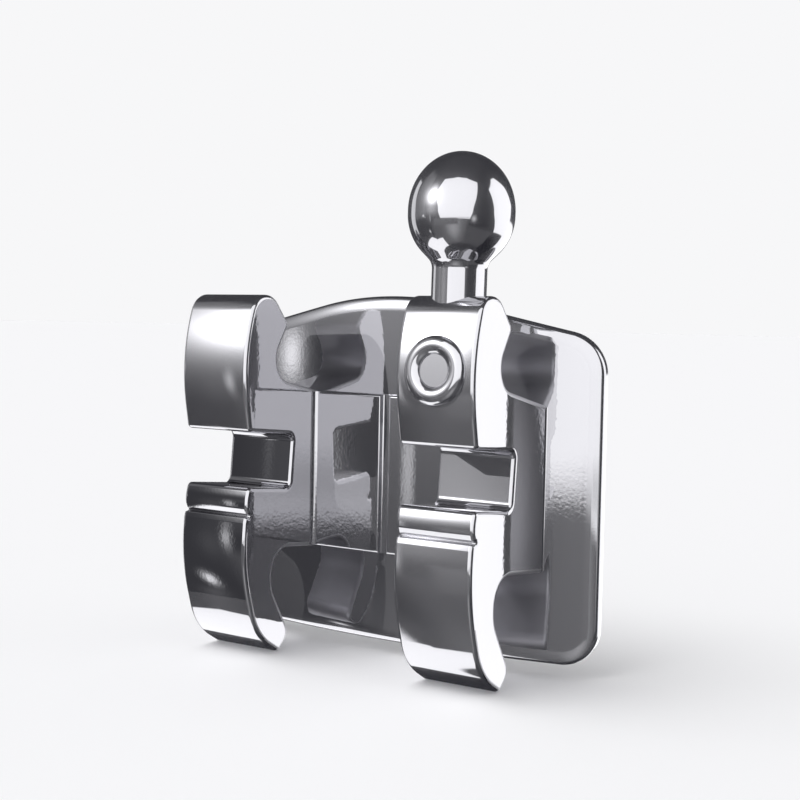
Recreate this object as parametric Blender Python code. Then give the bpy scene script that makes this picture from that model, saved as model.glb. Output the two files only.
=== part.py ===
"""Twin orthodontic bracket with a ball hook, moulded as one piece of stainless steel.

The bracket stands as it would on an upper tooth seen from the front: +Z up, -Y towards the
viewer, +X towards the hook. The origin is on the bonding face, in line with the slot. The slot
leans back by the torque angle, so wings and slot are drawn in a slot frame of their own.
"""

from math import acos, asin, ceil, cos, pi, radians, sin, sqrt, tan

import bmesh
import bpy
from mathutils import Matrix, Vector

MM = 0.001

# Archwire slot
SLOT_HEIGHT = 0.559 * MM
SLOT_DEPTH = 0.711 * MM
SLOT_TORQUE = radians(5.0)
SLOT_FLOOR_FILLET = 0.035 * MM
SLOT_MOUTH_ROUND = 0.055 * MM
LOWER_LIP_SETBACK = 0.032 * MM

# Wing pairs and the body that carries them, measured back from the wing face
IN_OUT = 1.322 * MM
PAIR_WIDTH = 0.852 * MM
PAIR_PITCH = 2.645 * MM
EDGE_ROUND = 0.022 * MM
BODY_TOP = 0.872 * MM
BODY_TOP_FALL = radians(7.2)
BODY_BOTTOM = 0.895 * MM

# Upper wing
UPPER_REACH = 1.679 * MM
UPPER_BULGE = 0.195 * MM
UPPER_BULGE_HEIGHT = 0.98 * MM
UPPER_FACE_RADIUS = 1.95 * MM
UPPER_BROW_SETBACK = -0.04 * MM
UPPER_BROW_ROUND = 0.24 * MM
UPPER_CREST = 0.255 * MM
UPPER_CREST_ROUND = 0.22 * MM
UPPER_HEEL = 0.515 * MM
UPPER_HEEL_HEIGHT = 1.42 * MM
UPPER_HEEL_ROUND = 0.09 * MM
UPPER_WAIST = 0.235 * MM
UPPER_TIE_FILLET = 0.24 * MM

# Lower wing
GROOVE_TOP = 0.505 * MM
GROOVE_HEIGHT = 0.13 * MM
GROOVE_DEPTH = 0.066 * MM
GROOVE_ROUND = 0.025 * MM
LOWER_BROW_HEIGHT = 1.08 * MM
LOWER_BROW_ROUND = 1.50 * MM
LOWER_CHEEK = 0.317 * MM
LOWER_CHEEK_HEIGHT = 1.80 * MM
LOWER_CHEEK_ROUND = 0.52 * MM
LOWER_REACH = 1.99 * MM
LOWER_TIP = 0.715 * MM
LOWER_TIP_ROUND = 0.025 * MM
LOWER_HEEL = 0.885 * MM
LOWER_HEEL_HEIGHT = 1.80 * MM
LOWER_HEEL_ROUND = 0.07 * MM
LOWER_WAIST = 0.535 * MM
LOWER_WAIST_HEIGHT = 1.32 * MM
LOWER_WAIST_ROUND = 0.35 * MM
LOWER_ROOT = 0.50 * MM
LOWER_TIE_FILLET = 0.26 * MM

# Bonding pad
PAD_WIDTH = 4.606 * MM
PAD_BOTTOM = 1.80 * MM
PAD_PEAK = 1.893 * MM
PAD_CROWN_FALL = radians(12.3)
PAD_CROWN_RADIUS = 4.3 * MM
PAD_THICKNESS = 0.16 * MM
PAD_CONTOUR_RADIUS = 9.3 * MM
PAD_TOP_CORNER = 0.43 * MM
PAD_BOTTOM_CORNER = 0.37 * MM
PAD_RIM_ROUND = 0.04 * MM

# Channel floor between the pairs, with its scribe line
CHANNEL_THICKNESS = 0.241 * MM
CHANNEL_EDGE_ROUND = 0.03 * MM
CHANNEL_REVEAL = 0.012 * MM
CHANNEL_OVERLAP = 0.05 * MM
SCRIBE_RADIUS = 0.06 * MM
SCRIBE_DEPTH = 0.04 * MM

# Marking ring on the right upper wing
RING_HEIGHT_ON_WING = 0.98 * MM
RING_OUTER_RADIUS = 0.305 * MM
RING_INNER_RADIUS = 0.165 * MM
RING_RELIEF = 0.055 * MM

# Ball hook
HOOK_SETBACK = 0.217 * MM
HOOK_RISE = 0.786 * MM
HOOK_SINK = 0.29 * MM
HOOK_LEAN = radians(0.9)
BALL_RADIUS = 0.498 * MM
BALL_CROWN = 0.555 * MM
BALL_STRETCH = 0.032 * MM
NECK_TAPER = radians(45.0)
NECK_FILLET = 0.13 * MM
POST_RADIUS = 0.249 * MM
POST_ROOT_ROUND = 0.15 * MM

# Retention pockets in the bonding face
POCKET_SIZE = 0.30 * MM
POCKET_PITCH = 0.42 * MM
POCKET_DEPTH = 0.06 * MM
POCKET_LAND = 0.17 * MM

# Fineness of the curves
CHORD_ERROR = 0.002 * MM
WIDEST_STEP = radians(20.0)
PAD_STRIP = 0.30 * MM
TURNED_STEPS = 36
SMALLEST_RING = 0.01 * MM
RING_STEPS = 32
RING_BEAD_STEPS = 12
SCRIBE_STEPS = 20
MERGE = 1e-6 * MM
CUT_ALLOWANCE = 0.40 * MM


def clear_scene():
    for obj in list(bpy.data.objects):
        bpy.data.objects.remove(obj, do_unlink=True)


def steel():
    """Polished stainless steel."""
    material = bpy.data.materials.new("polished_steel")
    material.use_nodes = True
    shader = material.node_tree.nodes["Principled BSDF"]
    shader.inputs["Base Color"].default_value = (0.56, 0.56, 0.58, 1.0)
    shader.inputs["Metallic"].default_value = 1.0
    shader.inputs["Roughness"].default_value = 0.16
    return material


def unit(a, b):
    """Direction from point a to point b."""
    return (Vector(b) - Vector(a)).normalized()


def fillet_sizes(corners):
    """Each corner's radius, made smaller where two fillets would meet on one edge."""
    most_of_edge = 0.999
    count = len(corners)
    halves = []
    trims = []
    for i, (u, v, radius) in enumerate(corners):
        back = unit((u, v), corners[i - 1][:2])
        ahead = unit((u, v), corners[(i + 1) % count][:2])
        half = back.angle(ahead) / 2
        halves.append(half)
        trims.append(radius / tan(half))
    room = []
    for i in range(count):
        j = (i + 1) % count
        edge = (Vector(corners[j][:2]) - Vector(corners[i][:2])).length
        wanted = trims[i] + trims[j]
        room.append(min(1.0, most_of_edge * edge / wanted) if wanted > 0 else 1.0)
    return [trims[i] * min(room[i - 1], room[i]) * tan(halves[i]) for i in range(count)]


def rounded_outline(corners, inset=0.0):
    """A closed outline from (u, v, radius) corners, listed anticlockwise, set in by a distance.

    Every inset of the same corners has the same number of points, so outlines can be bridged.
    """
    smallest_share = 0.02
    radii = fillet_sizes(corners)
    points = []
    for i, (u, v, _) in enumerate(corners):
        back = unit((u, v), corners[i - 1][:2])
        ahead = unit((u, v), corners[(i + 1) % len(corners)][:2])
        half = back.angle(ahead) / 2
        turn = pi - 2 * half
        bisector = (back + ahead).normalized()
        convex = back.cross(ahead) < 0
        side = 1 if convex else -1
        corner = Vector((u, v)) + bisector * (side * inset / sin(half))
        if radii[i] <= 0:
            points.append(corner)
            continue
        radius = max(radii[i] - side * inset, smallest_share * radii[i])
        fine_step = 2 * acos(max(1 - CHORD_ERROR / radii[i], 0.0))
        steps = max(2, ceil(turn / min(WIDEST_STEP, fine_step)))
        centre = corner + bisector * (radius / sin(half))
        start = corner + back * (radius / tan(half)) - centre
        for k in range(steps + 1):
            angle = side * turn * k / steps
            points.append(centre + Matrix.Rotation(angle, 2) @ start)
    return points


def mesh_object(name, bm, material):
    """Turn a bmesh into a smooth-shaded object in the scene."""
    bmesh.ops.recalc_face_normals(bm, faces=bm.faces)
    mesh = bpy.data.meshes.new(name)
    bm.to_mesh(mesh)
    bm.free()
    mesh.materials.append(material)
    mesh.shade_smooth()
    mesh.set_sharp_from_angle(angle=radians(30))
    obj = bpy.data.objects.new(name, mesh)
    bpy.context.scene.collection.objects.link(obj)
    return obj


def loft(rings):
    """A closed bmesh from rings of points with equal counts, capped at both ends."""
    bm = bmesh.new()
    loops = [[bm.verts.new(point) for point in ring] for ring in rings]
    count = len(loops[0])
    for lower, upper in zip(loops, loops[1:]):
        for i in range(count):
            j = (i + 1) % count
            bm.faces.new((lower[i], lower[j], upper[j], upper[i]))
    bm.faces.new(loops[0])
    bm.faces.new(loops[-1])
    return bm


def turned(profile, steps):
    """A closed bmesh of revolution about Z from (radius, height) points between two poles."""
    bm = bmesh.new()
    bottom = bm.verts.new((0, 0, profile[0][1]))
    top = bm.verts.new((0, 0, profile[-1][1]))
    rings = []
    for radius, height in profile[1:-1]:
        ring = []
        for i in range(steps):
            angle = 2 * pi * i / steps
            ring.append(bm.verts.new((radius * cos(angle), radius * sin(angle), height)))
        rings.append(ring)
    for i in range(steps):
        j = (i + 1) % steps
        bm.faces.new((bottom, rings[0][j], rings[0][i]))
        bm.faces.new((top, rings[-1][i], rings[-1][j]))
        for lower, upper in zip(rings, rings[1:]):
            bm.faces.new((lower[i], lower[j], upper[j], upper[i]))
    return bm


def slot_frame(x=0.0):
    """The frame of the slot: Y back from the wing face, Z up from the slot's middle."""
    turn = Matrix.Rotation(-SLOT_TORQUE, 4, "X")
    return Matrix.Translation((x, 0, 0)) @ turn @ Matrix.Translation((0, -IN_OUT, 0))


def bent(x, y):
    """Where a point of the flat pad goes when the pad is bent round the tooth."""
    from_axis = PAD_CONTOUR_RADIUS - (y + PAD_THICKNESS)
    sine = x / PAD_CONTOUR_RADIUS
    fall = PAD_CONTOUR_RADIUS - from_axis * sqrt(1 - sine**2)
    return from_axis * sine, fall - PAD_THICKNESS


def ledge_points():
    """Two points on the top of the body behind the wing, in the slot frame."""
    run = IN_OUT + CUT_ALLOWANCE - UPPER_WAIST
    front = (UPPER_WAIST, BODY_TOP)
    rear = (UPPER_WAIST + run, BODY_TOP - run * tan(BODY_TOP_FALL))
    return front, rear


def pair_corners():
    """The side view of a wing pair in the slot frame, anticlockwise from the slot's floor."""
    upper = SLOT_HEIGHT / 2
    lip = LOWER_LIP_SETBACK
    groove_bottom = GROOVE_TOP + GROOVE_HEIGHT
    front, rear = ledge_points()
    corners = [
        (SLOT_DEPTH, upper, SLOT_FLOOR_FILLET),
        (SLOT_DEPTH, -upper, SLOT_FLOOR_FILLET),
        (lip, -upper, SLOT_MOUTH_ROUND),
        (lip, -GROOVE_TOP, GROOVE_ROUND),
        (lip + GROOVE_DEPTH, -GROOVE_TOP, GROOVE_ROUND),
        (lip + GROOVE_DEPTH, -groove_bottom, GROOVE_ROUND),
        (lip, -groove_bottom, GROOVE_ROUND),
        (lip, -LOWER_BROW_HEIGHT, LOWER_BROW_ROUND),
        (LOWER_CHEEK, -LOWER_CHEEK_HEIGHT, LOWER_CHEEK_ROUND),
        (LOWER_TIP, -LOWER_REACH, LOWER_TIP_ROUND),
        (LOWER_HEEL, -LOWER_HEEL_HEIGHT, LOWER_HEEL_ROUND),
        (LOWER_WAIST, -LOWER_WAIST_HEIGHT, LOWER_WAIST_ROUND),
        (LOWER_ROOT, -BODY_BOTTOM, LOWER_TIE_FILLET),
        (rear[0], -BODY_BOTTOM, 0.0),
        (*rear, 0.0),
        (*front, UPPER_TIE_FILLET),
        (UPPER_HEEL, UPPER_HEEL_HEIGHT, UPPER_HEEL_ROUND),
        (UPPER_CREST, UPPER_REACH, UPPER_CREST_ROUND),
        (UPPER_BROW_SETBACK, UPPER_REACH, UPPER_BROW_ROUND),
        (-UPPER_BULGE, UPPER_BULGE_HEIGHT, UPPER_FACE_RADIUS),
        (0.0, upper, SLOT_MOUTH_ROUND),
    ]
    return corners


def wing_face(height):
    """How far the front of the wings lies at a height in the slot frame."""
    outline = rounded_outline(pair_corners())
    crossings = []
    for a, b in zip(outline, outline[1:] + outline[:1]):
        if (a.y - height) * (b.y - height) < 0:
            crossings.append(a.x + (b.x - a.x) * (height - a.y) / (b.y - a.y))
    return min(crossings)


def wing_pair_mesh(material):
    """One pair of tie wings with its body, its side edges rounded."""
    corners = pair_corners()
    half = PAIR_WIDTH / 2
    rings = []
    for side in (-1, 1):
        arcs = [0.0, pi / 4, pi / 2]
        for angle in reversed(arcs) if side < 0 else arcs:
            x = side * (half - EDGE_ROUND * (1 - sin(angle)))
            outline = rounded_outline(corners, EDGE_ROUND * (1 - cos(angle)))
            rings.append([(x, p.x, p.y) for p in outline])
    return loft(rings)


def pad_corners():
    """The front view of the pad, anticlockwise, with a crowned top that falls to both sides."""
    half = PAD_WIDTH / 2
    shoulder = PAD_PEAK - half * tan(PAD_CROWN_FALL)
    return [
        (-half, -PAD_BOTTOM, PAD_BOTTOM_CORNER),
        (half, -PAD_BOTTOM, PAD_BOTTOM_CORNER),
        (half, shoulder, PAD_TOP_CORNER),
        (0.0, PAD_PEAK, PAD_CROWN_RADIUS),
        (-half, shoulder, PAD_TOP_CORNER),
    ]


def bend_to_tooth(bm, half_width):
    """Slice a flat solid into upright strips and bend it round the tooth."""
    strips = ceil(2 * half_width / PAD_STRIP)
    for i in range(1, strips):
        x = -half_width + 2 * half_width * i / strips
        everything = bm.verts[:] + bm.edges[:] + bm.faces[:]
        bmesh.ops.bisect_plane(bm, geom=everything, dist=MERGE, plane_co=(x, 0, 0), plane_no=(1, 0, 0))
    for vert in bm.verts:
        vert.co.x, vert.co.y = bent(vert.co.x, vert.co.y)
    bmesh.ops.triangulate(bm, faces=bm.faces)


def pad(material):
    """The bonding pad, left thick at the back until the tooth's shape is cut."""
    corners = pad_corners()
    rings = []
    for angle in (pi / 2, pi / 4, 0.0):
        y = -PAD_THICKNESS + PAD_RIM_ROUND * (1 - sin(angle))
        outline = rounded_outline(corners, PAD_RIM_ROUND * (1 - cos(angle)))
        rings.append([(p.x, y, p.y) for p in outline])
    rings.append([(p.x, CUT_ALLOWANCE / 2, p.y) for p in rounded_outline(corners)])
    bm = loft(rings)
    bend_to_tooth(bm, PAD_WIDTH / 2)
    return mesh_object("bracket_body", bm, material)


def channel_floor(material):
    """The flat block between the two pairs, in line with the body's top and bottom."""
    place = slot_frame()
    front, rear = (place @ Vector((0, y, z)) for y, z in ledge_points())
    low_front = place @ Vector((0, LOWER_ROOT, -BODY_BOTTOM))
    low_rear = place @ Vector((0, ledge_points()[1][0], -BODY_BOTTOM))

    def at(y, a, b):
        return a.z + (b.z - a.z) * (y - a.y) / (b.y - a.y)

    face = -CHANNEL_THICKNESS
    back = CUT_ALLOWANCE / 2
    corners = [
        (face, at(face, front, rear) - CHANNEL_REVEAL, CHANNEL_EDGE_ROUND),
        (face, at(face, low_front, low_rear) + CHANNEL_REVEAL, CHANNEL_EDGE_ROUND),
        (back, at(back, low_front, low_rear) + CHANNEL_REVEAL, 0.0),
        (back, at(back, front, rear) - CHANNEL_REVEAL, 0.0),
    ]
    half = (PAIR_PITCH - PAIR_WIDTH) / 2 + CHANNEL_OVERLAP
    outline = rounded_outline(corners)
    bm = loft([[(x, p.x, p.y) for p in outline] for x in (-half, half)])
    return mesh_object("channel_floor", bm, material)


def hook(material):
    """Ball with a taller crown, conical neck and post, turned about one axis."""
    root = slot_frame(PAIR_PITCH / 2) @ Vector((0, HOOK_SETBACK, UPPER_REACH))
    cone_height = -BALL_STRETCH - BALL_RADIUS * tan(NECK_TAPER / 2)
    neck_height = cone_height - (BALL_RADIUS - POST_RADIUS) / tan(NECK_TAPER)
    end = -HOOK_RISE - HOOK_SINK
    side = [
        (0.0, end, 0.0),
        (POST_RADIUS, end, POST_ROOT_ROUND),
        (POST_RADIUS, neck_height, NECK_FILLET),
        (BALL_RADIUS, cone_height, BALL_RADIUS),
        (BALL_RADIUS, BALL_RADIUS, BALL_RADIUS),
        (0.0, BALL_RADIUS, 0.0),
    ]
    tallness = BALL_CROWN / BALL_RADIUS
    profile = [(p.x, p.y * tallness if p.y > 0 else p.y) for p in rounded_outline(side)]
    around = [(radius, height) for radius, height in profile[1:-1] if radius > SMALLEST_RING]
    obj = mesh_object("ball_hook", turned([profile[0], *around, profile[-1]], TURNED_STEPS), material)
    obj.location = root + Vector((0, 0, HOOK_RISE))
    obj.rotation_euler.y = HOOK_LEAN
    return obj


def marking_ring(material):
    """A half-sunk bead round a plain disc on the right upper wing."""
    middle = (RING_OUTER_RADIUS + RING_INNER_RADIUS) / 2
    half = (RING_OUTER_RADIUS - RING_INNER_RADIUS) / 2
    around = RING_BEAD_STEPS
    bm = bmesh.new()
    rings = []
    for i in range(RING_STEPS):
        angle = 2 * pi * i / RING_STEPS
        ring = []
        for k in range(around):
            turn = 2 * pi * k / around
            radius = middle + half * cos(turn)
            ring.append(bm.verts.new((radius * cos(angle), RING_RELIEF * sin(turn), radius * sin(angle))))
        rings.append(ring)
    for i in range(RING_STEPS):
        here = rings[i]
        there = rings[(i + 1) % RING_STEPS]
        for k in range(around):
            m = (k + 1) % around
            bm.faces.new((here[k], here[m], there[m], there[k]))
    obj = mesh_object("marking_ring", bm, material)
    face = wing_face(RING_HEIGHT_ON_WING)
    place = slot_frame(PAIR_PITCH / 2) @ Matrix.Translation((0, face, RING_HEIGHT_ON_WING))
    obj.matrix_world = place
    return obj


def scribe_line(material):
    """A round cutter that runs down the middle of the channel floor."""
    bm = bmesh.new()
    bmesh.ops.create_cone(
        bm,
        cap_ends=True,
        segments=SCRIBE_STEPS,
        radius1=SCRIBE_RADIUS,
        radius2=SCRIBE_RADIUS,
        depth=2 * PAD_PEAK,
    )
    obj = mesh_object("scribe_line", bm, material)
    obj.location.y = -CHANNEL_THICKNESS - SCRIBE_RADIUS + SCRIBE_DEPTH
    return obj


def tooth(material):
    """A block with the tooth's curve on its front, which cuts the bonding face."""
    half = PAD_WIDTH / 2 + CUT_ALLOWANCE
    height = 2 * PAD_PEAK + 2 * CUT_ALLOWANCE
    depth = 2 * IN_OUT
    bm = bmesh.new()
    bmesh.ops.create_cube(bm, size=1.0)
    bmesh.ops.scale(bm, verts=bm.verts, vec=(2 * half, depth, height))
    bmesh.ops.translate(bm, verts=bm.verts, vec=(0, depth / 2, 0))
    bend_to_tooth(bm, half)
    return mesh_object("tooth", bm, material)


def inside(point, outline):
    """Whether a point lies inside a closed outline."""
    hits = 0
    for a, b in zip(outline, outline[1:] + outline[:1]):
        if (a.y > point.y) != (b.y > point.y):
            hits += point.x < a.x + (b.x - a.x) * (point.y - a.y) / (b.y - a.y)
    return hits % 2 == 1


def retention_pockets(material):
    """A grid of square pockets in the bonding face, kept clear of the pad's rim."""
    land = rounded_outline(pad_corners(), POCKET_LAND)
    half = POCKET_SIZE / 2
    columns = ceil(PAD_WIDTH / 2 / POCKET_PITCH)
    rows = ceil(PAD_PEAK / POCKET_PITCH)
    bm = bmesh.new()
    for i in range(-columns, columns + 1):
        for j in range(-rows, rows + 1):
            x = i * POCKET_PITCH
            z = j * POCKET_PITCH
            spots = [Vector((x + a * half, z + b * half)) for a in (-1, 1) for b in (-1, 1)]
            if not all(inside(spot, land) for spot in spots):
                continue
            middle = (*bent(x, CUT_ALLOWANCE / 2 - POCKET_DEPTH), z)
            turn = Matrix.Rotation(asin(x / PAD_CONTOUR_RADIUS), 4, "Z")
            size = Matrix.Diagonal((POCKET_SIZE, CUT_ALLOWANCE, POCKET_SIZE, 1))
            bmesh.ops.create_cube(bm, size=1.0, matrix=Matrix.Translation(middle) @ turn @ size)
    return mesh_object("retention_pockets", bm, material)


def combine(body, other, operation):
    """Join a shape to the body, or cut it out, with an exact Boolean."""
    modifier = body.modifiers.new(other.name, "BOOLEAN")
    modifier.object = other
    modifier.operation = operation
    modifier.solver = "EXACT"
    other.hide_render = True
    other.display_type = "WIRE"


def build():
    clear_scene()
    material = steel()
    body = pad(material)
    pair = mesh_object("wing_pair_left", wing_pair_mesh(material), material)
    pair.matrix_world = slot_frame(-PAIR_PITCH / 2)
    twin = bpy.data.objects.new("wing_pair_right", pair.data)
    bpy.context.scene.collection.objects.link(twin)
    twin.matrix_world = slot_frame(PAIR_PITCH / 2)
    for piece in (pair, twin, channel_floor(material), hook(material), marking_ring(material)):
        combine(body, piece, "UNION")
    for cutter in (scribe_line(material), tooth(material), retention_pockets(material)):
        combine(body, cutter, "DIFFERENCE")


build()
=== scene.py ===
# %% [markdown]
# # A twin bracket with a ball hook
# This is one small metal casting, under five millimetres wide, that is glued to a front tooth.
# It has a curved pad at the back, two pairs of wings in front, a slot for the wire and a ball on a
# post. Everything here is drawn in millimetres and turned into metres at the end, because mesh
# tools behave better on numbers near one.

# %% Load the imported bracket
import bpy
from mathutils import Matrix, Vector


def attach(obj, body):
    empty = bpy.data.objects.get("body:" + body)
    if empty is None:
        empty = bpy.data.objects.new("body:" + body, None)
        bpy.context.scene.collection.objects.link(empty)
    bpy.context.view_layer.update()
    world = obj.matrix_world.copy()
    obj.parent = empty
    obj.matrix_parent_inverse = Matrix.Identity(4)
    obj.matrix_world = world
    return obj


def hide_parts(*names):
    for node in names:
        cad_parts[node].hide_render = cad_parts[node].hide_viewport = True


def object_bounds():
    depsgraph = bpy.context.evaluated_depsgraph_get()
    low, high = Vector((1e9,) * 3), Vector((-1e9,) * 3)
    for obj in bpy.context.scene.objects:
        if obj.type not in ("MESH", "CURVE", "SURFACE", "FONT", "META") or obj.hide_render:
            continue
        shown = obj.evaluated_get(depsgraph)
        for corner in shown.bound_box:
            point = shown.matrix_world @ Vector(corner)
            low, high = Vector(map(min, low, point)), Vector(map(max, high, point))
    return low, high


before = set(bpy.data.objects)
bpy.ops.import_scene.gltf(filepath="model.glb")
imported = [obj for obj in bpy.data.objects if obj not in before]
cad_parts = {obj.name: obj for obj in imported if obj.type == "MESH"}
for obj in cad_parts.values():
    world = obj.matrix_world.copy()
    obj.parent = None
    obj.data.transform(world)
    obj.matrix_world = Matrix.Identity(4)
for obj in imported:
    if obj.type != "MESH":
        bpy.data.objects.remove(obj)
cad_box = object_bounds()
print("packed box in metres:", cad_box)

# %% Modules and units
from math import acos, asin, atan2, ceil, cos, pi, radians, sin, sqrt, tan

import bmesh
import bpy
import numpy as np
from mathutils import Matrix, Vector

MM = 0.001
print("one unit in the lists below is", MM, "m")

# %% [markdown]
# ## The camera
# A small product shot like this is taken with a short telephoto lens from close by, a third of the
# way round to the right and barely above the part. The lens and the place are matched to the picture.

# %% Place the camera
LENS = 63.0
CAMERA_PLACE = Vector((8.13749, -12.07303, 1.50238))
CAMERA_TURN = (radians(86.9084), radians(-1.1373), radians(33.9237))


def add_camera():
    data = bpy.data.cameras.new("product_camera")
    data.lens = LENS
    data.sensor_width = 36.0
    data.clip_start = 0.5 * MM
    data.clip_end = 10.0
    camera = bpy.data.objects.new("product_camera", data)
    camera.location = CAMERA_PLACE * MM
    camera.rotation_euler = CAMERA_TURN
    bpy.context.scene.collection.objects.link(camera)
    bpy.context.scene.camera = camera
    return camera


camera = add_camera()
print("camera is", round(CAMERA_PLACE.length, 2), "mm from the bonding face")

# %% [markdown]
# ## The sizes of the casting
# The slot is taken to be 0.022 by 0.028 inch, which is 0.559 by 0.711 mm. The sizes that show from
# the front were measured against it, and the hidden ones are guesses. The side view of a wing pair
# is drawn in the slot's own frame, which leans back by the torque angle.

# %% Sizes of the slot and the body
SLOT_HEIGHT = 0.559
SLOT_DEPTH = 0.711
SLOT_TORQUE = radians(5.0)
SLOT_FLOOR_FILLET = 0.08
SLOT_MOUTH_ROUND = 0.055
LOWER_LIP_SETBACK = 0.032
IN_OUT = 1.322
PAIR_WIDTH = 0.852
PAIR_PITCH = 2.645
EDGE_ROUND = 0.045
BODY_TOP = 0.872
BODY_TOP_FALL = radians(7.2)
BODY_BOTTOM = 0.895
print("slot is", SLOT_HEIGHT, "by", SLOT_DEPTH, "mm")

# %% Sizes of the upper wing
UPPER_REACH = 1.679
UPPER_BULGE = 0.195
UPPER_BULGE_HEIGHT = 0.98
UPPER_FACE_RADIUS = 1.95
UPPER_BROW_SETBACK = -0.04
UPPER_BROW_ROUND = 0.24
UPPER_CREST = 0.255
UPPER_CREST_ROUND = 0.22
UPPER_HEEL = 0.515
UPPER_HEEL_HEIGHT = 1.42
UPPER_HEEL_ROUND = 0.09
UPPER_WAIST = 0.235
UPPER_TIE_FILLET = 0.24
print("upper wing reaches", UPPER_REACH, "mm above the slot")

# %% Sizes of the lower wing
LIP_TILT = 0.025
LIP_BROW = 0.405
LIP_ROLL = 0.40
LIP_END = 0.49
LIP_FALL = 0.008
GROOVE_TOP = 0.545
GROOVE_FALL = 0.029
GROOVE_DEPTH = 0.06
GROOVE_BOTTOM = 0.585
GROOVE_END = 0.64
GROOVE_RISE = 0.009
GROOVE_ROUND = 0.012
GROOVE_SHOULDER = 0.05
LOWER_BROW_HEIGHT = 1.08
LOWER_BROW_ROUND = 1.90
LOWER_CHEEK = 0.317
LOWER_CHEEK_HEIGHT = 1.80
LOWER_CHEEK_ROUND = 0.66
LOWER_REACH = 1.99
LOWER_TIP = 0.715
LOWER_TIP_ROUND = 0.06
LOWER_HEEL = 0.885
LOWER_HEEL_HEIGHT = 1.80
LOWER_HEEL_ROUND = 0.16
LOWER_WAIST = 0.535
LOWER_WAIST_HEIGHT = 1.32
LOWER_WAIST_ROUND = 0.35
LOWER_ROOT = 0.50
LOWER_TIE_FILLET = 0.26
print("lower wing reaches", LOWER_REACH, "mm below the slot")

# %% Sizes of the pad and the channel floor
PAD_WIDTH = 4.606
PAD_BOTTOM = 1.80
PAD_PEAK = 1.893
PAD_CROWN_FALL = radians(12.3)
PAD_CROWN_RADIUS = 4.3
PAD_THICKNESS = 0.16
PAD_CONTOUR_RADIUS = 9.3
PAD_TOP_CORNER = 0.43
PAD_BOTTOM_CORNER = 0.37
PAD_RIM_SOFT_RADIUS = 0.35
PAD_RIM_SOFT_TURN = radians(20)
PAD_RIM_ROUND = 0.06
CHANNEL_THICKNESS = 0.241
CHANNEL_EDGE_ROUND = 0.03
CHANNEL_REVEAL = 0.012
CHANNEL_OVERLAP = 0.05
CHANNEL_STEP = 0.0103
CHANNEL_STEP_START = 0.09
CHANNEL_STEP_END = 0.55
SCRIBE_WIDTH = 0.10
SCRIBE_DEPTH = 0.045
SCRIBE_SHOULDER = 0.03
SCRIBE_FLOOR_ROUND = 0.03
print("pad is", PAD_WIDTH, "mm wide and", PAD_BOTTOM + PAD_PEAK, "mm tall")

# %% Sizes of the ring and the ball hook
RING_HEIGHT_ON_WING = 0.968
RING_OUTER_RADIUS = 0.320
RING_INNER_RADIUS = 0.148
RING_RELIEF = 0.055
RING_DISC_RELIEF = 0.012
HOOK_SETBACK = 0.217
HOOK_RISE = 0.786
HOOK_SINK = 0.29
HOOK_LEAN = radians(0.9)
BALL_RADIUS = 0.498
BALL_CROWN = 0.555
BALL_STRETCH = 0.032
NECK_TAPER = radians(45.0)
NECK_FILLET = 0.13
POST_RADIUS = 0.258
POST_ROOT_ROUND = 0.15
print("ball is", 2 * BALL_RADIUS, "mm across")

# %% Sizes of the pockets in the bonding face
POCKET_SIZE = 0.30
POCKET_PITCH = 0.42
POCKET_DEPTH = 0.06
POCKET_LAND = 0.17
print("pockets are", POCKET_SIZE, "mm square and", POCKET_DEPTH, "mm deep")

# %% [markdown]
# ## How fine the curves are
# A mirror finish shows every facet. The arcs are cut so finely that the corners between two facets
# turn by no more than three degrees, and smooth shading hides the rest.

# %% Fineness
CHORD_ERROR = 0.00005
WIDEST_STEP = radians(3.0)
EDGE_STEPS = 8
RIM_STEPS = 8
PAD_STRIP = 0.05
TURNED_STEPS = 128
SMALLEST_RING = 0.004
RING_STEPS = 96
RING_BEAD_STEPS = 40
MERGE = 1e-5
CUT_ALLOWANCE = 0.40
print("a lathe shape has", TURNED_STEPS, "sides")

# %% [markdown]
# ## Outlines with round corners
# Each shape starts as a short list of corners, each with its own radius. One helper turns that list
# into a smooth outline, and can also set the outline in by a distance. Two outlines of the same
# corners always have the same number of points, so they can be joined by plain quads.

# %% Round the corners of an outline
def unit(a, b):
    """Direction from point a to point b."""
    return (Vector(b) - Vector(a)).normalized()


def fillet_sizes(corners):
    """Each corner's radius, made smaller where two fillets would meet on one edge."""
    most_of_edge = 0.999
    count = len(corners)
    halves = []
    trims = []
    for i, (u, v, radius) in enumerate(corners):
        back = unit((u, v), corners[i - 1][:2])
        ahead = unit((u, v), corners[(i + 1) % count][:2])
        half = back.angle(ahead) / 2
        halves.append(half)
        trims.append(radius / tan(half))
    room = []
    for i in range(count):
        j = (i + 1) % count
        edge = (Vector(corners[j][:2]) - Vector(corners[i][:2])).length
        wanted = trims[i] + trims[j]
        room.append(min(1.0, most_of_edge * edge / wanted) if wanted > 0 else 1.0)
    return [trims[i] * min(room[i - 1], room[i]) * tan(halves[i]) for i in range(count)]


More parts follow.
